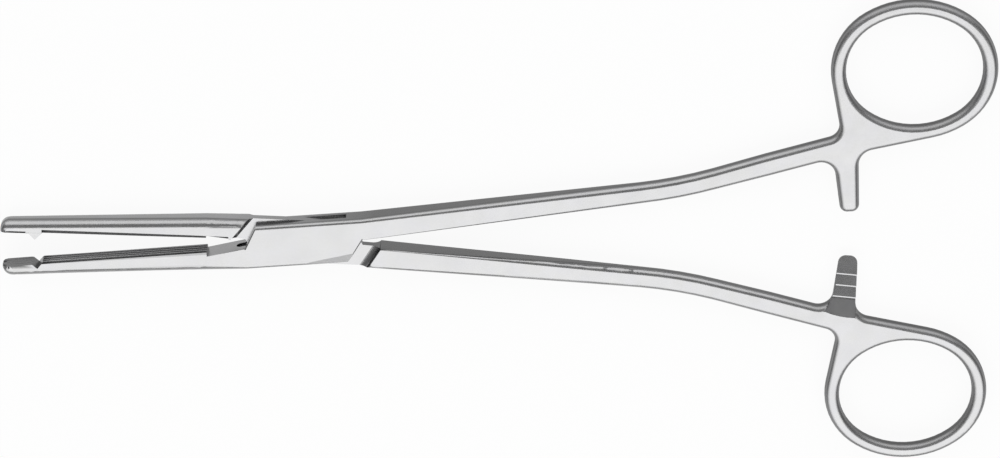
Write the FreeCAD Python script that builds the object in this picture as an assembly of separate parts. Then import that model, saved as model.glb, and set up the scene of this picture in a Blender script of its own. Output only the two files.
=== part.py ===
import FreeCAD, Part
import math
import os

# Ring-handled hysterectomy forceps with a box lock, in millimetres.
# Each half is drawn in the closed position: the pivot axis is Z, the jaw points to -X,
# the ring lies on +X, and the two halves are mirror images across the line y = 0.
# The box half has its jaw below that line and its handle above it.

# Lock
lock_width = 9.74
lock_thickness = 5.3
lock_edge_radius = 0.9
plate_end_jaw = 10.98            # pivot to the jaw-side end of the lock plates, square to that end
plate_end_jaw_angle = 29.0
plate_end_shank = 9.92           # pivot to the shank-side end of the lock plates
plate_end_shank_angle = 34.5
tongue_thickness = 1.75
slot_side_clearance = 0.06       # tongue face to plate
slot_wall_clearance = 0.32       # tongue corner to the wall that ends the slot
slot_mouth_reach = 2.0           # how far the rounded mouth of the slot runs into the jaw root
shoulder_jaw = 11.8              # pivot to the foot of the jaw-side shoulder
shoulder_jaw_angle = 36.5
shoulder_jaw_edge_radius = 1.6   # back edge of the tongue half at that shoulder, nearly as round as its jaw
shoulder_shank = 12.5            # pivot to the foot of the shank-side shoulder
shoulder_shank_angle = 30.0
shoulder_shank_run = 1.6
shoulder_jaw_run = 1.0           # how far this shoulder leans back over the depth of a plate
shoulder_hollow_run = 0.72       # a shoulder's hollow face passes through these shares of its lean and depth
shoulder_hollow_rise = 0.4
pin_radius = 1.6
pin_clearance = 0.03

# Jaws
jaw_reach = 64.1                 # pivot to the tip of the jaws
jaw_tip_depth = 2.85
jaw_tip_thickness = 4.15
jaw_tip_radius = 2.1
jaw_tip_side_share = 0.5         # how much the tip rounds sideways for what it rounds from the back
jaw_back_radius = 1.8
pad_end = 20.8                   # pivot to the end of the serrated face
pad_depth = 4.45                 # depth of the jaw at the end of the serrated face
pad_thickness = 5.2
pad_tip_bevel = 0.27
pad_root_bevel = 0.48
pad_tip_gap = 0.02               # serrated face to the line between the closed jaws, at the tip
pad_root_gap = 0.30              # the same at the root: the tips meet first
relief_depth = 1.2               # closing line to the smooth relief behind the serrated face
relief_bevel = 0.05
groove_pitch = 1.0
groove_width = 0.72
groove_depth = 0.38
tooth_reach = 56.75              # pivot to the tooth and to its notch
tooth_width = 2.5
tooth_height = 1.3
tooth_root = 0.6                 # how far the sides of the tooth run down into the serrated face
notch_clearance = 0.12

# Shanks
shank_width = 4.42
shank_inner_edge_radius = 0.1    # beside the lock, where the inner edges are nearly sharp
shank_inner_start = 0.20         # closing line to the shank beside the lock
shank_bend_x = 79.1
shank_bend_y = 6.0
shank_bend_span = 16.0           # length of the outward bend along the shank
shank_out_slope = 12.5           # direction of the shank beyond the bend, in degrees

# Rings
ring_x = 129.3
ring_y = 29.6
ring_hole_long = 28.4
ring_hole_short = 24.7
ring_wire = 3.12
ring_tilt = -5.0

# Webs and ratchet arms
handle_thickness = 3.0
handle_edge_radius = 1.3
handle_width = 4.7
arm_to_ring = 14.9               # middle of the arm's root to the middle of the ring, along X
joint_to_arm = 16.4              # end of the shank to the middle of the arm's root, along X
web_corner_back = 0.8            # web's outer corner to the middle of the arm's root, along X
web_outer_radius = 2.8
arm_root_width = 5.3
arm_tip_width = 3.95
arm_lean = 0.3                   # how far the tip of the arm leans towards the ring
arm_past_line = 1.4              # how far an arm reaches past the closing line
arm_tip_radius = 1.6
arm_shank_radius = 3.1
arm_web_radius = 3.4
arm_web_y = 11.9                 # closing line to where the arm's ring side would meet the web

# Ratchet
tooth_pitch = 2.64
first_crest = 2.8                # closing line to the crest nearest the tip of the arm
crest_count = 3
crest_land = 0.26
crest_height = 0.65
crest_overlap = 0.25             # each row of crests stands this far past the middle plane
ratchet_ramp_end = 12.1          # closing line to the end of the long ramp behind the crests
ramp_end_step = 0.3              # the ramp would meet the front face this much further on
ramp_corner_x = 4.1              # middle of the arm's root to the ramp's far corner at the shank
ramp_corner_drop = 1.05          # that corner lies this much nearer to the closing line than the ramp's end
ramp_ring_side = 2.7             # middle of the arm's root to the ramp's edge on the ring side
ramp_ring_side_fall = 0.12       # the ramp's end lies this much further from the closing line there
ramp_edge_start = 5.0            # closing line to where the ramp's curved edge leaves the arm's outline
ramp_edge_bow = 0.5

# Rest position: each half is turned this far from closed
rest_half_angle = 3.33

EPS = 0.001
PAST = 1.0                       # cutters run this far past the metal
BIG = 40.0
AXIS = FreeCAD.Vector(0, 0, 1)


def vec(x, y, z=0.0):
    return FreeCAD.Vector(x, y, z)


def unit(angle):
    a = math.radians(angle)
    return vec(math.cos(a), math.sin(a))


def polygon_face(points):
    return Part.Face(Part.makePolygon(points + [points[0]]))


def line(a, b):
    return Part.LineSegment(a, b).toShape()


def arc(a, middle, b):
    return Part.Arc(a, middle, b).toShape()


def rounded_section(place, across, inner, outer, half_thickness, r_inner, r_outer):
    """Rounded rectangle across a bar, whose width runs from inner to outer along the direction across."""
    def at(v, z):
        return place + across * v + AXIS * z

    def corner(v, v_side, z_side, r):
        centre_v = v - v_side * r
        centre_z = z_side * (half_thickness - r)
        s = r * math.sqrt(0.5)
        middle = at(centre_v + v_side * s, centre_z + z_side * s)
        return at(v, centre_z), middle, at(centre_v, z_side * half_thickness)

    outer_front = corner(outer, 1, 1, r_outer)
    inner_front = corner(inner, -1, 1, r_inner)
    inner_back = corner(inner, -1, -1, r_inner)
    outer_back = corner(outer, 1, -1, r_outer)
    edges = [arc(*outer_front), line(outer_front[2], inner_front[2])]
    edges += [arc(*reversed(inner_front)), line(inner_front[0], inner_back[0])]
    edges += [arc(*inner_back), line(inner_back[2], outer_back[2])]
    edges += [arc(*reversed(outer_back)), line(outer_back[0], outer_front[0])]
    return Part.Wire(edges)


def jaw_section(x, top, bottom, half_thickness, bevel, r):
    """Jaw section at x: flat grasping face on top with bevelled edges, rounded back below."""
    t = half_thickness
    s = r * math.sqrt(0.5)
    front_arc = arc(vec(x, bottom + r, t), vec(x, bottom + r - s, t - r + s), vec(x, bottom, t - r))
    back_arc = arc(vec(x, bottom, r - t), vec(x, bottom + r - s, r - s - t), vec(x, bottom + r, -t))
    edges = [
        line(vec(x, top, bevel - t), vec(x, top, t - bevel)),
        line(vec(x, top, t - bevel), vec(x, top - bevel, t)),
        line(vec(x, top - bevel, t), vec(x, bottom + r, t)),
        front_arc,
        line(vec(x, bottom, t - r), vec(x, bottom, r - t)),
        back_arc,
        line(vec(x, bottom + r, -t), vec(x, top - bevel, -t)),
        line(vec(x, top - bevel, -t), vec(x, top, bevel - t)),
    ]
    return Part.Wire(edges)


def half_plane(angle, distance):
    """Block that fills the side of a straight line away from the pivot."""
    block = Part.makeBox(BIG, 2 * BIG, 2 * BIG, vec(distance, -BIG, -BIG))
    block.rotate(vec(0, 0), AXIS, angle)
    return block


def slant_x(distance, angle, y):
    """x at height y of the line square to the direction angle, at the given distance."""
    n = unit(angle)
    return (distance - n.y * y) / n.x


lock_half = lock_width / 2
lock_top = lock_thickness / 2
jaw_root_x = slant_x(plate_end_jaw, 180 - plate_end_jaw_angle, 0.0)
shank_root_x = slant_x(plate_end_shank, -plate_end_shank_angle, shank_inner_start)
tip_start_x = jaw_tip_radius - jaw_reach
arm_x = ring_x - arm_to_ring


def pad_values(x):
    """Top, depth, half thickness and bevel of the serrated jaw at x, tapering evenly."""
    f = (x + pad_end) / (tip_start_x + pad_end)
    top = -pad_root_gap + f * (pad_root_gap - pad_tip_gap)
    depth = pad_depth + f * (jaw_tip_depth - pad_depth)
    half_thickness = (pad_thickness + f * (jaw_tip_thickness - pad_thickness)) / 2
    bevel = pad_root_bevel + f * (pad_tip_bevel - pad_root_bevel)
    return top, depth, half_thickness, bevel


def jaw_blade():
    """Serrated length of the jaw, from the end of the pad to where the tip starts to round."""
    wires = []
    for x in (-pad_end, tip_start_x):
        top, depth, half_t, bevel = pad_values(x)
        wires.append(jaw_section(x, top, top - depth, half_t, bevel, jaw_back_radius))
    return Part.makeLoft(wires, True, True)


def jaw_tip():
    """Rounded tip: sections shrink towards the grasping corner along a quarter circle."""
    top, depth, half_t, bevel = pad_values(tip_start_x)
    roundness = jaw_back_radius / (depth - bevel)
    wires = []
    for angle in range(0, 90, 16):
        a = math.radians(angle)
        x = tip_start_x - jaw_tip_radius * math.sin(a)
        back = jaw_tip_radius * (1 - math.cos(a))
        side = jaw_tip_side_share * back
        radius = roundness * (depth - back - bevel)
        wires.append(jaw_section(x, top, top - depth + back, half_t - side, bevel, radius))
    return Part.makeLoft(wires, True, False)


def jaw_root(edge_radius):
    """Smooth stretch between the serrated face and the lock, with its sloping relief."""
    pad_top, depth, half_t, bevel = pad_values(-pad_end)
    first = jaw_section(-pad_end, -relief_depth, pad_top - depth, half_t, relief_bevel, jaw_back_radius)
    last = jaw_section(jaw_root_x, 0.0, -lock_half, lock_top, relief_bevel, edge_radius)
    return Part.makeLoft([first, last], True, True)


def lock_block(edge_radius):
    """Full width of the lock, with both slanting ends cut; edge_radius is that of its jaw's side."""
    jaw_wire = rounded_section(vec(jaw_root_x, 0), vec(0, 1), -lock_half, lock_half, lock_top,
                               edge_radius, lock_edge_radius)
    shank_wire = rounded_section(vec(0, 0), vec(0, 1), -lock_half, lock_half, lock_top,
                                 lock_edge_radius, lock_edge_radius)
    block = Part.Face(jaw_wire).extrude(vec(-jaw_root_x, 0))
    block = block.fuse(Part.Face(shank_wire).extrude(vec(shank_root_x, 0)))
    block = block.cut(half_plane(180 - plate_end_jaw_angle, plate_end_jaw))
    return block.cut(half_plane(-plate_end_shank_angle, plate_end_shank))


def bar_section(place, along, width, thickness, r_in, r_out):
    across = vec(-along.y, along.x)
    return rounded_section(place, across, -width / 2, width / 2, thickness / 2, r_in, r_out)


def shank():
    """Tapering bar from the lock, a round bend outwards, and a widening end at the web."""
    root = vec(shank_root_x, (shank_inner_start + lock_half) / 2)
    corner = vec(shank_bend_x, shank_bend_y)
    inward = corner - root
    inward.normalize()
    outward = unit(shank_out_slope)
    turn = inward.getAngle(outward)
    run = shank_bend_span / 2
    start = corner - inward * run
    end = corner + outward * run
    centre = start + vec(-inward.y, inward.x) * (run / math.tan(turn / 2))
    r = handle_edge_radius
    t = handle_thickness
    first = bar_section(root, vec(1, 0), lock_half - shank_inner_start, lock_thickness,
                        shank_inner_edge_radius, lock_edge_radius)
    second = bar_section(start, inward, shank_width, t, r, r)
    taper = Part.makeLoft([first, second], True, True)
    bend = Part.Face(second).revolve(centre, AXIS, math.degrees(turn))
    third = bar_section(end, outward, shank_width, t, r, r)
    last = bar_section(handle_joint(), outward, handle_width, t, r, r)
    return taper.fuse([bend, Part.makeLoft([third, last], True, True)])


def handle_joint():
    """Where the shank's centre line meets the web."""
    outward = unit(shank_out_slope)
    run = arm_x - joint_to_arm - shank_bend_x
    return vec(shank_bend_x, shank_bend_y) + outward * (run / outward.x)


def oval_arcs(offset):
    """Centre, radius and first and last direction of the ring oval's four arcs, grown by offset."""
    a = ring_hole_long / 2
    b = ring_hole_short / 2
    end_radius = (b + b * b / a) / 2
    side_radius = (a * a + b * b - 2 * a * end_radius) / (2 * (b - end_radius))
    join = math.degrees(math.atan2(side_radius - b, a - end_radius))
    end = (a - end_radius, end_radius, join)
    side = (b - side_radius, side_radius, 90 - join)
    arcs = []
    for k, (shift, radius, spread) in enumerate((end, side, end, side)):
        middle = ring_tilt + 90 * k
        centre = vec(ring_x, ring_y) + unit(middle) * shift
        arcs.append((centre, radius + offset, middle - spread, middle + spread))
    return arcs


def arc_part(centre, radius, first, last):
    """Arc between two directions seen from its centre."""
    middle = unit((first + last) / 2)
    return arc(centre + unit(first) * radius, centre + middle * radius, centre + unit(last) * radius)


def touching_arc(point, side, arcs):
    """Which arc a line from the point touches, and in which direction from the arc's centre."""
    for k, (centre, radius, first, last) in enumerate(arcs):
        away = point - centre
        if away.Length < radius:
            continue
        bearing = math.atan2(away.y, away.x) + side * math.acos(radius / away.Length)
        ahead = (math.degrees(bearing) - first) % 360
        if ahead <= last - first:
            return k, first + ahead
    raise ValueError("no line from this point touches the ring")


def rounded_corner(before, corner, after, radius):
    """Ends and middle of the arc that rounds a corner."""
    a = before - corner
    b = after - corner
    a.normalize()
    b.normalize()
    half_turn = a.getAngle(b) / 2
    run = radius / math.tan(half_turn)
    middle_way = a + b
    middle_way.normalize()
    middle = corner + middle_way * (radius / math.sin(half_turn) - radius)
    return corner + a * run, middle, corner + b * run


def on_line(start, along, x):
    """Point with the given x on the line from start in the direction along."""
    return start + along * ((x - start.x) / along.x)


def handle_outline():
    """Plan of the web, ring and ratchet arm as one closed wire."""
    along = unit(shank_out_slope)
    across = vec(-along.y, along.x)
    shank_outer = handle_joint() + across * (handle_width / 2)
    shank_inner = handle_joint() - across * (handle_width / 2)
    outer_corner = on_line(shank_outer, along, arm_x - web_corner_back)
    inner_corner = on_line(shank_inner, along, arm_x - arm_root_width / 2)
    web_corner = vec(arm_x + arm_root_width / 2, arm_web_y)
    tip_left = vec(arm_x + arm_lean - arm_tip_width / 2, -arm_past_line)
    tip_right = vec(arm_x + arm_lean + arm_tip_width / 2, -arm_past_line)
    arcs = oval_arcs(ring_wire)
    up_arc, up = touching_arc(outer_corner, -1, arcs)
    low_arc, low = touching_arc(web_corner, 1, arcs)
    ring_edges = [arc_part(*arcs[low_arc][:2], low, arcs[low_arc][3])]
    k = (low_arc + 1) % 4
    while k != up_arc:
        ring_edges.append(arc_part(*arcs[k]))
        k = (k + 1) % 4
    ring_edges.append(arc_part(*arcs[up_arc][:3], up))
    ring_up = arcs[up_arc][0] + unit(up) * arcs[up_arc][1]
    ring_low = arcs[low_arc][0] + unit(low) * arcs[low_arc][1]
    rounds = [
        rounded_corner(ring_up, outer_corner, shank_outer, web_outer_radius),
        rounded_corner(shank_inner, inner_corner, tip_left, arm_shank_radius),
        rounded_corner(inner_corner, tip_left, tip_right, arm_tip_radius),
        rounded_corner(tip_left, tip_right, web_corner, arm_tip_radius),
        rounded_corner(tip_right, web_corner, ring_low, arm_web_radius),
    ]
    edges = ring_edges + [arc(*points) for points in rounds]
    edges += [line(ring_up, rounds[0][0]), line(rounds[0][2], shank_outer)]
    edges += [line(shank_outer, shank_inner), line(shank_inner, rounds[1][0])]
    edges += [line(a[2], b[0]) for a, b in zip(rounds[1:], rounds[2:])]
    edges.append(line(rounds[-1][2], ring_low))
    return Part.Wire(Part.__sortEdges__(edges))


def handle():
    """Ring, web and ratchet arm with rounded edges, before the ratchet teeth are cut."""
    t = handle_thickness
    plate = Part.Face(handle_outline()).extrude(vec(0, 0, t))
    plate.translate(vec(0, 0, -t / 2))
    hole_wire = Part.Wire([arc_part(*a) for a in oval_arcs(0.0)])
    hole = Part.Face(hole_wire).extrude(vec(0, 0, 2 * t))
    hole.translate(vec(0, 0, -t))
    plate = plate.cut(hole)
    rims = [e for e in plate.Edges if is_rim(e)]
    return plate.makeFillet(handle_edge_radius, rims)


def is_rim(edge):
    """True for an edge of the front or back face, apart from the joint with the shank."""
    box = edge.BoundBox
    flat = box.ZLength < EPS and abs(abs(box.ZMin) - handle_thickness / 2) < EPS
    from_joint = edge.CenterOfMass - handle_joint()
    at_joint = abs(from_joint.dot(unit(shank_out_slope))) < EPS and from_joint.Length < handle_width
    return flat and not at_joint


def half_blank(edge_radius):
    """One half without its share of the lock, tooth or ratchet."""
    parts = [jaw_tip(), jaw_root(edge_radius), lock_block(edge_radius), shank(), handle()]
    return jaw_blade().fuse(parts)


def grooves():
    """Lengthwise grooves of the serrated face, parallel to the middle plane."""
    count = int(pad_thickness / 2 / groove_pitch)
    cutters = []
    for k in range(-count, count + 1):
        z = k * groove_pitch
        wires = []
        for x in (-pad_end, -jaw_reach - PAST):
            top = pad_values(x)[0]
            bottom = vec(x, top - groove_depth, z)
            back = vec(x, top + groove_depth, z - groove_width)
            front = vec(x, top + groove_depth, z + groove_width)
            wires.append(Part.makePolygon([bottom, back, front, bottom]))
        cutters.append(Part.makeLoft(wires, True, True))
    return cutters


def tooth_wedge(extra, width):
    """Wedge across the jaw near the tip, grown by extra on every side."""
    top = pad_values(-tooth_reach)[0]
    half = tooth_width / 2 + extra
    points = [
        vec(-tooth_reach - half, top - tooth_root),
        vec(-tooth_reach - half, top),
        vec(-tooth_reach, top + tooth_height + extra),
        vec(-tooth_reach + half, top),
        vec(-tooth_reach + half, top - tooth_root),
    ]
    wedge = polygon_face(points).extrude(vec(0, 0, width))
    wedge.translate(vec(0, 0, -width / 2))
    return wedge


def tooth():
    """Tooth whose ends lie just inside the flat sides of the jaw."""
    half_t = pad_values(-tooth_reach - tooth_width)[2]
    return tooth_wedge(0.0, 2 * half_t)


def notch():
    """Room in the facing jaw for the tooth, open on both sides."""
    return tooth_wedge(notch_clearance, lock_thickness).mirror(vec(0, 0), vec(0, 1))


def ratchet_cutter():
    """Everything in front of the toothed side of an arm: ramps fall towards the arm's tip.

    The crests lie on lines through the pivot, so that both arms' crests stay parallel as they mesh.
    """
    root = crest_overlap - crest_height
    front = handle_thickness
    ramp_foot = ratchet_ramp_end + ramp_end_step
    profile = [vec(0, ramp_foot, front), vec(0, ramp_foot, handle_thickness / 2)]
    for k in reversed(range(crest_count)):
        y = first_crest + k * tooth_pitch
        profile += [vec(0, y + EPS, root), vec(0, y, crest_overlap), vec(0, y - crest_land, crest_overlap)]
    tip_y = -arm_past_line - PAST
    fall = crest_height / (tooth_pitch - crest_land)
    profile.append(vec(0, tip_y, crest_overlap - fall * (first_crest - crest_land - tip_y)))
    profile.append(vec(0, tip_y, front))
    cutter = polygon_face(profile).extrude(vec(4 * arm_root_width, 0))
    cutter.translate(vec(arm_x - 2 * arm_root_width, 0))
    middle_crest = vec(arm_x, first_crest + tooth_pitch * (crest_count - 1) / 2)
    cutter.rotate(middle_crest, AXIS, math.degrees(math.atan2(middle_crest.y, middle_crest.x)))
    return cutter.common(ratchet_plan())


def ratchet_plan():
    """Plan of the toothed area: it spreads towards the shank along the fillet of the arm."""
    left = arm_x - arm_root_width
    right = arm_x + ramp_ring_side
    tip_y = -arm_past_line - 2 * PAST
    leave = vec(arm_x - arm_tip_width / 2, ramp_edge_start)
    corner = vec(arm_x - ramp_corner_x, ratchet_ramp_end - ramp_corner_drop)
    turn = vec(arm_x, ratchet_ramp_end)
    along = corner - leave
    along.normalize()
    bowed = (leave + corner) * 0.5 + vec(along.y, -along.x) * ramp_edge_bow
    end = vec(right, turn.y + ramp_ring_side_fall)
    rest = [end, vec(right, tip_y), vec(left, tip_y), vec(left, leave.y), leave]
    edges = [arc(leave, bowed, corner), arc(corner, turn, end)]
    edges += [line(a, b) for a, b in zip(rest, rest[1:])]
    prism = Part.Face(Part.Wire(edges)).extrude(vec(0, 0, 4 * handle_thickness))
    prism.translate(vec(0, 0, -2 * handle_thickness))
    return prism


def slot():
    """Slot through the lock: two slanting walls, and a rounded mouth at the jaw root."""
    t = tongue_thickness / 2 + slot_side_clearance
    jaw_wall = 180 + plate_end_jaw_angle
    shank_wall = plate_end_shank_angle
    jaw_distance = plate_end_jaw + slot_wall_clearance
    shank_distance = plate_end_shank + slot_wall_clearance
    corners = []
    for distance, angle, y in (
        (jaw_distance, jaw_wall, -lock_width),
        (shank_distance, shank_wall, -lock_width),
        (shank_distance, shank_wall, lock_width),
        (jaw_distance, jaw_wall, lock_width),
    ):
        corners.append(vec(slant_x(distance, angle, y), y, -t))
    body = polygon_face(corners).extrude(vec(0, 0, 2 * t))
    mouth_x = jaw_root_x - slot_mouth_reach + t
    mouth = Part.makeCylinder(t, lock_half, vec(mouth_x, -slot_mouth_reach), vec(0, 1))
    bridge = Part.makeBox(jaw_root_x - mouth_x, lock_half, 2 * t, vec(mouth_x, -slot_mouth_reach, -t))
    return body.fuse([mouth, bridge])


def shoulder_cutter(angle, foot, run):
    """Removes the front of the lock up to a shoulder with a hollow ramp."""
    z0 = tongue_thickness / 2
    z1 = lock_top
    above = z1 + PAST
    top = foot + run
    start = -lock_half
    hollow = vec(foot + run * shoulder_hollow_run, 0, z0 + (z1 - z0) * shoulder_hollow_rise)
    edges = [
        line(vec(start, 0, z0), vec(foot, 0, z0)),
        arc(vec(foot, 0, z0), hollow, vec(top, 0, z1)),
        line(vec(top, 0, z1), vec(top, 0, above)),
        line(vec(top, 0, above), vec(start, 0, above)),
        line(vec(start, 0, above), vec(start, 0, z0)),
    ]
    cutter = Part.Face(Part.Wire(edges)).extrude(vec(0, 4 * lock_width))
    cutter.translate(vec(0, -2 * lock_width))
    cutter.rotate(vec(0, 0), AXIS, angle)
    return cutter


def flipped(shape):
    """The same shape on the back of the middle plane."""
    return shape.mirror(vec(0, 0), AXIS)


def bore(radius):
    return Part.makeCylinder(radius, 2 * lock_thickness, vec(0, 0, -lock_thickness))


def box_half():
    """Half with the slotted lock; its jaw carries the notch and its arm bears on the front."""
    body = half_blank(lock_edge_radius)
    return body.cut(grooves() + [slot(), bore(pin_radius), notch(), flipped(ratchet_cutter())])


def tongue_half():
    """Half whose thin tongue passes through the slot; its jaw carries the tooth."""
    body = half_blank(shoulder_jaw_edge_radius)
    cutters = grooves() + [bore(pin_radius + pin_clearance), ratchet_cutter()]
    for cutter in (
        shoulder_cutter(180 + shoulder_jaw_angle, shoulder_jaw, shoulder_jaw_run),
        shoulder_cutter(shoulder_shank_angle, shoulder_shank, shoulder_shank_run),
    ):
        cutters += [cutter, flipped(cutter)]
    return body.cut(cutters).fuse(tooth()).mirror(vec(0, 0), vec(0, 1))


def pivot_pin():
    """Rivet pressed in both plates and ground flush with them."""
    return Part.makeCylinder(pin_radius, lock_thickness, vec(0, 0, -lock_top))


def at_rest(shape, angle):
    """Turn a closed half to the rest position and set the lock's back face on z = 0."""
    shape.rotate(vec(0, 0), AXIS, angle)
    shape.translate(vec(0, 0, lock_top))
    return shape


def main():
    os.makedirs("parts", exist_ok=True)
    nodes = {
        "box_half": at_rest(box_half(), rest_half_angle),
        "tongue_half": at_rest(tongue_half(), -rest_half_angle),
        "pivot_pin": at_rest(pivot_pin(), rest_half_angle),
    }
    for name, shape in nodes.items():
        shape.exportStep("parts/" + name + ".step")
        box = shape.BoundBox
        print(name, len(shape.Solids), "solid", round(shape.Volume, 1), "mm3", "valid", shape.isValid(),
              [round(v, 2) for v in (box.XMin, box.YMin, box.ZMin, box.XMax, box.YMax, box.ZMax)])


main()
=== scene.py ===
import bpy
import math
from mathutils import Matrix, Vector


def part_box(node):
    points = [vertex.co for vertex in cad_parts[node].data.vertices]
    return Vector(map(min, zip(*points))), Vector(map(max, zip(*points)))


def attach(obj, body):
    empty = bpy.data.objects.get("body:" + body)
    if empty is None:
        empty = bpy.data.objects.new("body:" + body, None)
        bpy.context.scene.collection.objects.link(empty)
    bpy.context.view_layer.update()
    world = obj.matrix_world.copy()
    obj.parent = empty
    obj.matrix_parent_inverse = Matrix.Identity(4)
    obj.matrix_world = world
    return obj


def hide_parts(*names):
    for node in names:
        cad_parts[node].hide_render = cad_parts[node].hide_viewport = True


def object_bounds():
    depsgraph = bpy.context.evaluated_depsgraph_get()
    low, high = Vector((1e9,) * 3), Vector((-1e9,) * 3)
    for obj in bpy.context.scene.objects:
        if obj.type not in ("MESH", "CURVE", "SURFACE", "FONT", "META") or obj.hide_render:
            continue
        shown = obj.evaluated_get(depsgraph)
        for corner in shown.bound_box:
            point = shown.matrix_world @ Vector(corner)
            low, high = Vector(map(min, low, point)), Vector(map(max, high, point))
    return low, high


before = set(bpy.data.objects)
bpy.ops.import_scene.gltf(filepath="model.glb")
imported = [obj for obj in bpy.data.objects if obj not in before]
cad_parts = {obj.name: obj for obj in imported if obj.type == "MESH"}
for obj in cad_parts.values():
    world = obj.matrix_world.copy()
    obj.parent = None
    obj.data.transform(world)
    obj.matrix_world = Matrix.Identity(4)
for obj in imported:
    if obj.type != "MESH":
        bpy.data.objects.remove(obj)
cadLow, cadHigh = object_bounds()
mm = 0.001


def newMaterial(name):
    material = bpy.data.materials.new(name)
    material.use_nodes = True
    material.node_tree.nodes.clear()
    return material


def addNode(tree, kind, **values):
    node = tree.nodes.new(kind)
    for key, value in values.items():
        setattr(node, key, value)
    return node


def newGroup(name, inputs, outputs):
    # a node group with named float inputs (name: default) and outputs (name: socket type)
    group = bpy.data.node_groups.new(name, "ShaderNodeTree")
    for label, default in inputs.items():
        socket = group.interface.new_socket(label, in_out="INPUT", socket_type="NodeSocketFloat")
        socket.default_value = default
    for label, kind in outputs.items():
        group.interface.new_socket(label, in_out="OUTPUT", socket_type=kind)
    groupIn = addNode(group, "NodeGroupInput")
    groupOut = addNode(group, "NodeGroupOutput")
    return group, groupIn, groupOut


def placeGroup(tree, group, values):
    node = addNode(tree, "ShaderNodeGroup", node_tree=group)
    for label, value in values.items():
        node.inputs[label].default_value = value
    return node


def mathNode(tree, operation, first, second):
    node = addNode(tree, "ShaderNodeMath", operation=operation)
    for socket, value in zip(node.inputs, (first, second)):
        if isinstance(value, bpy.types.NodeSocket):
            tree.links.new(value, socket)
        else:
            socket.default_value = value
    return node.outputs[0]


def noise(tree, vector, scale, detail):
    node = addNode(tree, "ShaderNodeTexNoise")
    node.inputs["Scale"].default_value = scale
    node.inputs["Detail"].default_value = detail
    tree.links.new(vector, node.inputs["Vector"])
    return node.outputs["Fac"]


def rangeNode(tree, value, low, high, start, end):
    # a mask that goes from start to end while the value goes from low to high
    node = addNode(tree, "ShaderNodeMapRange")
    tree.links.new(value, node.inputs["Value"])
    node.inputs["From Min"].default_value = low
    node.inputs["From Max"].default_value = high
    for label, source in (("To Min", start), ("To Max", end)):
        if isinstance(source, bpy.types.NodeSocket):
            tree.links.new(source, node.inputs[label])
        else:
            node.inputs[label].default_value = source
    return node.outputs["Result"]


def millimetres(tree, squeeze=1.0):
    # object coordinates in millimetres, squeezed along X to draw a pattern out along the steel
    place = addNode(tree, "ShaderNodeTexCoord")
    mapping = addNode(tree, "ShaderNodeMapping")
    mapping.inputs["Scale"].default_value = (squeeze / mm, 1 / mm, 1 / mm)
    tree.links.new(place.outputs["Object"], mapping.inputs["Vector"])
    return mapping.outputs["Vector"]


# Steel of all three pieces, by the inputs of each group: the roughness of the grain and its height
# in metres, the grey of the steel, the share of that grey left on walls, rounds, rings and
# grooves as painted shade, and the roughness that the satin adds
steel = {
    "grain": {"Low": 0.18, "High": 0.25, "Height": 0.0000012},
    "tone": {"Dark": 0.52, "Light": 0.55},
    "paintedShadeWithSatin": {"JawWall": 0.54, "ShankWall": 0.21, "Dip": 0.28, "Round": 0.62,
               "RingShade": 0.78, "GripShade": 0.33, "Satin": 0.06, "RingSatin": 0.16},
}

# Satin grain: the last pass of the polishing belt leaves fine lines along the instrument
grainPattern = {"squeeze": 0.12, "lineScale": 9.0, "lineDetail": 4.0,
                "cloudScale": 0.35, "cloudDetail": 3.0, "least": 0.36, "most": 0.64}


def satinGrain():
    outputs = {"Roughness": "NodeSocketFloat", "Normal": "NodeSocketVector"}
    group, groupIn, groupOut = newGroup("satinGrain", steel["grain"], outputs)
    lines = noise(group, millimetres(group, grainPattern["squeeze"]),
                  grainPattern["lineScale"], grainPattern["lineDetail"])
    cloud = noise(group, millimetres(group),
                  grainPattern["cloudScale"], grainPattern["cloudDetail"])
    mixed = mathNode(group, "MULTIPLY", mathNode(group, "ADD", lines, cloud), 0.5)
    rough = rangeNode(group, mixed, grainPattern["least"], grainPattern["most"],
                      groupIn.outputs["Low"], groupIn.outputs["High"])
    group.links.new(rough, groupOut.inputs["Roughness"])
    bump = addNode(group, "ShaderNodeBump")
    bump.inputs["Distance"].default_value = 1.0  # so the height is in metres
    height = mathNode(group, "MULTIPLY", lines, groupIn.outputs["Height"])
    group.links.new(height, bump.inputs["Height"])
    group.links.new(bump.outputs["Normal"], groupOut.inputs["Normal"])
    return group


# Toning: faint clouds of warmer and cooler grey, as on handled stainless steel
tonePattern = {"patchScale": 0.18, "patchDetail": 3.0, "least": 0.3, "most": 0.7,
               "hueScale": 0.3, "hueDetail": 2.0, "blueLeast": 0.98, "blueSwing": 0.06}


def steelTone():
    outputs = {"Color": "NodeSocketColor"}
    group, groupIn, groupOut = newGroup("steelTone", steel["tone"], outputs)
    patch = noise(group, millimetres(group), tonePattern["patchScale"], tonePattern["patchDetail"])
    level = rangeNode(group, patch, tonePattern["least"], tonePattern["most"],
                      groupIn.outputs["Dark"], groupIn.outputs["Light"])
    hue = noise(group, millimetres(group), tonePattern["hueScale"], tonePattern["hueDetail"])
    blueSwing = mathNode(group, "MULTIPLY", hue, tonePattern["blueSwing"])
    blueShare = mathNode(group, "ADD", blueSwing, tonePattern["blueLeast"])
    color = addNode(group, "ShaderNodeCombineColor")
    group.links.new(level, color.inputs["Red"])
    group.links.new(level, color.inputs["Green"])
    group.links.new(mathNode(group, "MULTIPLY", level, blueShare), color.inputs["Blue"])
    group.links.new(color.outputs["Color"], groupOut.inputs["Color"])
    return group
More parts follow.
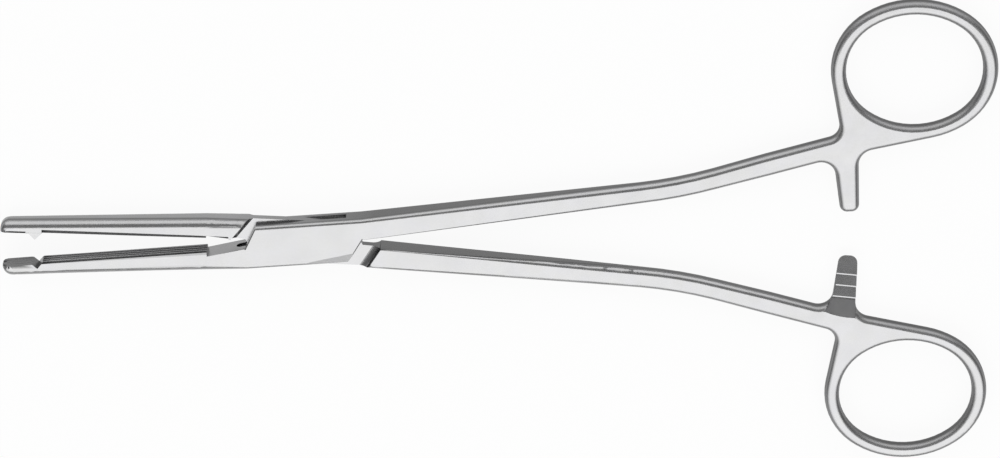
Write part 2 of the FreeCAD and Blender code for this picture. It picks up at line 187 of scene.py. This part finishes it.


# Painted shade: flat faces keep the full grey, rounds are painted somewhat darker and the side
# walls darker still, darkest along the shanks and rings, with a painted dark dip between walls and
# rounds. The zones go by how upright the normal is (0 on a wall, 1 on a flat face), then along X
# in mm, and "inward" by how far a wall faces the middle
paintedShadeAndSatinZones = {"wall": (0.1, 0.28), "round": (0.3, 0.6), "face": (0.86, 0.995),
               "satin": (0.9, 0.995), "lock": (-15.0, 15.0), "ring": (90.0, 115.0),
               "tip": (-56.5, -53.5), "inward": (-0.5, 0.0)}


def paintedShadeAndSatin():
    outputs = {"Shade": "NodeSocketFloat", "Satin": "NodeSocketFloat"}
    group, groupIn, groupOut = newGroup("paintedShadeAndSatin", steel["paintedShadeWithSatin"], outputs)
    place = addNode(group, "ShaderNodeTexCoord")
    facing = addNode(group, "ShaderNodeSeparateXYZ")
    group.links.new(place.outputs["Normal"], facing.inputs["Vector"])
    upright = mathNode(group, "ABSOLUTE", facing.outputs["Z"], 0.0)
    spot = addNode(group, "ShaderNodeSeparateXYZ")
    group.links.new(millimetres(group), spot.inputs["Vector"])
    alongX = spot.outputs["X"]
    wall = rangeNode(group, alongX, *paintedShadeAndSatinZones["lock"], groupIn.outputs["JawWall"],
                     groupIn.outputs["ShankWall"])
    shade = rangeNode(group, upright, *paintedShadeAndSatinZones["wall"], wall, groupIn.outputs["Dip"])
    shade = rangeNode(group, upright, *paintedShadeAndSatinZones["round"], shade, groupIn.outputs["Round"])
    ring = rangeNode(group, alongX, *paintedShadeAndSatinZones["ring"], 1.0, groupIn.outputs["RingShade"])
    shade = mathNode(group, "MULTIPLY", shade, ring)
    shade = rangeNode(group, upright, *paintedShadeAndSatinZones["face"], shade, 1.0)
    # painted shade on the grooves at the tips: the fill card shines on them past the other jaw, so
    # they are painted darker
    inward = mathNode(group, "MULTIPLY", facing.outputs["Y"], spot.outputs["Y"])
    tip = rangeNode(group, alongX, *paintedShadeAndSatinZones["tip"], groupIn.outputs["GripShade"], 1.0)
    gripShade = rangeNode(group, inward, *paintedShadeAndSatinZones["inward"], tip, 1.0)
    group.links.new(mathNode(group, "MULTIPLY", shade, gripShade), groupOut.inputs["Shade"])
    handle = rangeNode(group, alongX, *paintedShadeAndSatinZones["ring"], groupIn.outputs["Satin"],
                       groupIn.outputs["RingSatin"])
    satin = rangeNode(group, upright, *paintedShadeAndSatinZones["satin"], handle, 0.0)
    group.links.new(satin, groupOut.inputs["Satin"])
    return group


def steelMaterial(name, grainGroup, toneGroup, shadeGroup):
    material = newMaterial(name)
    tree = material.node_tree
    shader = addNode(tree, "ShaderNodeBsdfPrincipled")
    shader.inputs["Metallic"].default_value = 1.0
    out = addNode(tree, "ShaderNodeOutputMaterial")
    tree.links.new(shader.outputs["BSDF"], out.inputs["Surface"])
    grain = placeGroup(tree, grainGroup, steel["grain"])
    tone = placeGroup(tree, toneGroup, steel["tone"])
    paintedShadeWithSatin = placeGroup(tree, shadeGroup, steel["paintedShadeWithSatin"])
    # painted shade: the grey of the steel is scaled down by the group's painted shade
    shade = addNode(tree, "ShaderNodeVectorMath", operation="SCALE")
    tree.links.new(tone.outputs["Color"], shade.inputs[0])
    tree.links.new(paintedShadeWithSatin.outputs["Shade"], shade.inputs["Scale"])
    tree.links.new(shade.outputs["Vector"], shader.inputs["Base Color"])
    rough = mathNode(tree, "ADD", grain.outputs["Roughness"], paintedShadeWithSatin.outputs["Satin"])
    tree.links.new(rough, shader.inputs["Roughness"])
    tree.links.new(grain.outputs["Normal"], shader.inputs["Normal"])
    return material


def onlySelect(piece):
    bpy.ops.object.select_all(action="DESELECT")
    piece.select_set(True)
    bpy.context.view_layer.objects.active = piece


# Each half is a copy of its solid with merged points, whole flat faces and true normals; angles
# are in degrees and the merging distance in mm
halfFinish = {"flatAngle": 0.03, "sharpAngle": 15.0, "merge": 0.0002}

# Set of the steel: jaws and shanks aren't quite straight. In mm: where along X each part of the
# bow starts and ends, and how far towards +Y it stands at the jaws' tips, shanks and rings
steelSet = {"start": 12.0, "jawEnd": 65.0, "jaw": -0.48, "shankEnd": 60.0, "shank": 0.2,
            "ringStart": 85.0, "ringEnd": 135.0, "ring": -0.22}


def eased(value, low, high):
    share = min(max((value - low) / (high - low), 0.0), 1.0)
    return share * share * (3.0 - 2.0 * share)


def setAt(x):
    if x < 0:
        reach = max(-x - steelSet["start"], 0.0) / (steelSet["jawEnd"] - steelSet["start"])
        return steelSet["jaw"] * reach ** 2
    rise = steelSet["shank"] * eased(x, steelSet["start"], steelSet["shankEnd"])
    change = steelSet["ring"] - steelSet["shank"]
    return rise + change * eased(x, steelSet["ringStart"], steelSet["ringEnd"])


# Ground edges of each half, in mm and degrees: an edge runs from start to end (x, y and the depth
# under the face) with the steel on its right. On the box the first two break the ends of the
# plates and the third is the wide one along them. On the tongue half they break the upper jaw's
# gripping edge on both sides of the tooth, and go down with the jaw's taper
groundEdges = {
    "box_half": [
        {"start": (12.26, 1.11, 0.0), "end": (9.40, -3.62, 0.0), "inset": 0.24, "slope": 40.0},
        {"start": (-12.63, -0.93, 0.0), "end": (-10.47, 3.57, 0.0), "inset": 0.2, "slope": 40.0},
        {"start": (13.0, -1.47, 0.0), "end": (-4.0, -5.05, 0.0), "inset": 0.0, "slope": 22.0},
    ],
    "tongue_half": [
        {"start": (-16.0, 1.65, 0.02), "end": (-55.2, 3.93, 0.49), "inset": 0.4, "slope": 40.0},
        {"start": (-58.6, 3.7, 0.545), "end": (-62.8, 3.98, 0.58), "inset": 0.3, "slope": 40.0},
    ],
}
frontFace, backFace = (5.3, 1.0), (0.0, -1.0)  # height in mm, and the way the face looks along Z
groundFaces = {"box_half": (frontFace, backFace), "tongue_half": (frontFace,)}
grindBlock = {"width": 6.0, "lead": 2.0, "depth": 2.0}  # what is cut away over the sloping plane


def grindEdge(piece, edge, level, side):
    # cuts away what lies above a sloping plane along the edge
    startX, startY, startDepth = edge["start"]
    endX, endY, endDepth = edge["end"]
    start = Vector((startX, startY, level - startDepth * side))
    end = Vector((endX, endY, level - endDepth * side))
    along = (end - start).normalized()
    outward = Vector((-along.y, along.x, 0.0)).normalized()
    up = along.cross(outward) * side
    slope = math.radians(edge["slope"])
    down = outward * math.cos(slope) - up * math.sin(slope)
    normal = outward * math.sin(slope) + up * math.cos(slope)
    foot = (start + end) / 2 - outward * edge["inset"]
    bpy.ops.object.select_all(action="DESELECT")
    bpy.ops.mesh.primitive_cube_add(size=1.0)
    cutter = bpy.context.object
    reach, width, depth = (end - start).length, grindBlock["width"], grindBlock["depth"]
    turn = Matrix((along * side, down, normal)).transposed().to_4x4()
    size = Matrix.Diagonal((reach * mm, width * mm, depth * mm, 1.0))
    centre = foot + down * grindBlock["lead"] + normal * depth / 2
    cutter.matrix_world = Matrix.Translation(centre * mm) @ turn @ size
    cut = piece.modifiers.new("groundEdge", "BOOLEAN")
    cut.operation = "DIFFERENCE"
    cut.solver = "EXACT"
    cut.object = cutter
    onlySelect(piece)
    bpy.ops.object.modifier_apply(modifier=cut.name)
    bpy.data.objects.remove(cutter)


def finishedHalf(node, name, body, material):
    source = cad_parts[node]
    piece = bpy.data.objects.new(name, source.data.copy())
    bpy.context.scene.collection.objects.link(piece)
    onlySelect(piece)
    bpy.ops.object.mode_set(mode="EDIT")
    bpy.ops.mesh.select_all(action="SELECT")
    bpy.ops.mesh.remove_doubles(threshold=halfFinish["merge"] * mm)
    bpy.ops.mesh.dissolve_limited(angle_limit=math.radians(halfFinish["flatAngle"]))
    bpy.ops.object.mode_set(mode="OBJECT")
    for edge in groundEdges[node]:
        for level, side in groundFaces[node]:
            grindEdge(piece, edge, level, side)
    for vertex in piece.data.vertices:
        vertex.co.y += setAt(vertex.co.x / mm) * mm
    bpy.ops.object.shade_smooth_by_angle(angle=math.radians(halfFinish["sharpAngle"]))
    weighted = piece.modifiers.new("trueNormals", "WEIGHTED_NORMAL")
    weighted.keep_sharp = True
    bpy.ops.object.modifier_apply(modifier=weighted.name)
    piece.data.materials.clear()
    piece.data.materials.append(material)
    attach(piece, body)
    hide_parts(node)
    print("finished", name, len(piece.data.polygons), "faces")


# Pale floor: it shows white to the camera and to reflections, and keeps the shadow. Its size is
# in metres and the gap under the instrument in mm, and glow is how white it shows
floor = {"size": 6.0, "albedo": 0.95, "glow": 0.92, "gap": 0.05}


def paleFloor():
    bpy.ops.object.select_all(action="DESELECT")
    height = cadLow.z - floor["gap"] * mm
    bpy.ops.mesh.primitive_plane_add(size=floor["size"], location=(0, 0, height))
    plane = bpy.context.object
    plane.name = "floor"
    material = newMaterial("floorWhite")
    tree = material.node_tree
    matt = addNode(tree, "ShaderNodeBsdfDiffuse")
    matt.inputs["Color"].default_value = (floor["albedo"], floor["albedo"], floor["albedo"], 1.0)
    glow = addNode(tree, "ShaderNodeEmission")
    path = addNode(tree, "ShaderNodeLightPath")
    seen = mathNode(tree, "MAXIMUM", path.outputs["Is Camera Ray"], path.outputs["Is Glossy Ray"])
    seen = mathNode(tree, "MAXIMUM", seen, path.outputs["Is Transmission Ray"])
    mix = addNode(tree, "ShaderNodeMixShader")
    tree.links.new(mathNode(tree, "MULTIPLY", seen, floor["glow"]), mix.inputs["Fac"])
    tree.links.new(matt.outputs["BSDF"], mix.inputs[1])
    tree.links.new(glow.outputs["Emission"], mix.inputs[2])
    out = addNode(tree, "ShaderNodeOutputMaterial")
    tree.links.new(mix.outputs["Shader"], out.inputs["Surface"])
    plane.data.materials.append(material)


# Lights: turn is in the plane square to the instrument, in degrees from straight up towards its
# +Y side; sizes and distance are in metres
lamps = {
    "softbox": {"turn": -40.0, "distance": 0.9, "across": 1.04, "along": 2.0, "radiance": 1.22},
    "fillCard": {"turn": 61.0, "distance": 0.9, "across": 0.74, "along": 2.0, "radiance": 1.5},
}

# The room is paler towards the horizon: low is its level there, high its level above, and the
# steps are heights on a sphere round the instrument
ambient = {"low": 0.75, "high": 0.26, "steps": (0.05, 0.22)}


def areaLamp(name, lamp, centre):
    data = bpy.data.lights.new(name, "AREA")
    data.shape = "RECTANGLE"
    data.size = lamp["along"]
    data.size_y = lamp["across"]
    data.energy = math.pi * data.size * data.size_y * lamp["radiance"]
    turn = math.radians(lamp["turn"])
    away = Vector((0.0, math.sin(turn), math.cos(turn)))
    light = bpy.data.objects.new(name, data)
    bpy.context.scene.collection.objects.link(light)
    light.location = centre + away * lamp["distance"]
    light.rotation_euler = (-turn, 0.0, 0.0)
    light.visible_camera = False
    print("light", name, round(data.energy, 2), "W")


def paleWorld():
    world = bpy.data.worlds.new("studio")
    world.use_nodes = True
    tree = world.node_tree
    tree.nodes.clear()
    # the grey of the room lights the steel, and the camera alone sees white in its place
    dim = addNode(tree, "ShaderNodeBackground")
    place = addNode(tree, "ShaderNodeTexCoord")
    split = addNode(tree, "ShaderNodeSeparateXYZ")
    tree.links.new(place.outputs["Generated"], split.inputs["Vector"])
    height = mathNode(tree, "ABSOLUTE", split.outputs["Z"], 0.0)
    level = rangeNode(tree, height, *ambient["steps"], ambient["low"], ambient["high"])
    tree.links.new(level, dim.inputs["Color"])
    white = addNode(tree, "ShaderNodeBackground")
    path = addNode(tree, "ShaderNodeLightPath")
    mix = addNode(tree, "ShaderNodeMixShader")
    tree.links.new(path.outputs["Is Camera Ray"], mix.inputs["Fac"])
    tree.links.new(dim.outputs["Background"], mix.inputs[1])
    tree.links.new(white.outputs["Background"], mix.inputs[2])
    out = addNode(tree, "ShaderNodeOutputWorld")
    tree.links.new(mix.outputs["Shader"], out.inputs["Surface"])
    bpy.context.scene.world = world


# Camera: tilted from straight above towards +Y, with +Y up in the picture. Angles are in degrees,
# distance and the point looked at in mm, and pixel is the size in mm that a pixel shows there
camera = {"tilt": 23.85, "roll": 0.778, "distance": 870.0, "lookX": 41.05, "lookY": 2.515,
          "pixel": 0.2105, "imageWidth": 1000, "sensor": 36.0}


def photoCamera():
    tilt = math.radians(camera["tilt"])
    back = Vector((0.0, math.sin(tilt), math.cos(tilt)))
    up = Vector((0.0, math.cos(tilt), -math.sin(tilt)))
    right = Vector((1.0, 0.0, 0.0))
    look = Vector((camera["lookX"], camera["lookY"], 0.0)) * mm
    place = Matrix.Translation(look + back * camera["distance"] * mm)
    place = place @ Matrix((right, up, back)).transposed().to_4x4()
    roll = Matrix.Rotation(-math.radians(camera["roll"]), 4, "Z")
    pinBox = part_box("pivot_pin")
    lift = Matrix.Translation((0.0, 0.0, (pinBox[0].z + pinBox[1].z) / 2))
    data = bpy.data.cameras.new("photoCamera")
    data.sensor_width = camera["sensor"]
    data.lens = camera["sensor"] * camera["distance"] / (camera["pixel"] * camera["imageWidth"])
    view = bpy.data.objects.new("photoCamera", data)
    bpy.context.scene.collection.objects.link(view)
    view.matrix_world = lift @ roll @ place
    bpy.context.scene.camera = view


grainGroup = satinGrain()
toneGroup = steelTone()
# painted shade and the added satin roughness, one group for both steels
shadeGroup = paintedShadeAndSatin()
satinSteelPaintedShade = steelMaterial("satinSteelPaintedShade", grainGroup, toneGroup, shadeGroup)
pinSteel = steelMaterial("pinSteel", grainGroup, toneGroup, shadeGroup)
print("materials ready")

finishedHalf("box_half", "boxHalf", "box_body", satinSteelPaintedShade)
finishedHalf("tongue_half", "tongueHalf", "tongue_body", satinSteelPaintedShade)
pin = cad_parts["pivot_pin"]
pin.data.materials.clear()
pin.data.materials.append(pinSteel)

middle = (cadLow + cadHigh) / 2
paleFloor()
for lampName, lampValues in lamps.items():
    areaLamp(lampName, lampValues, middle)
paleWorld()
photoCamera()
bpy.context.scene.view_settings.view_transform = "Standard"
print("floor, lights and camera ready")
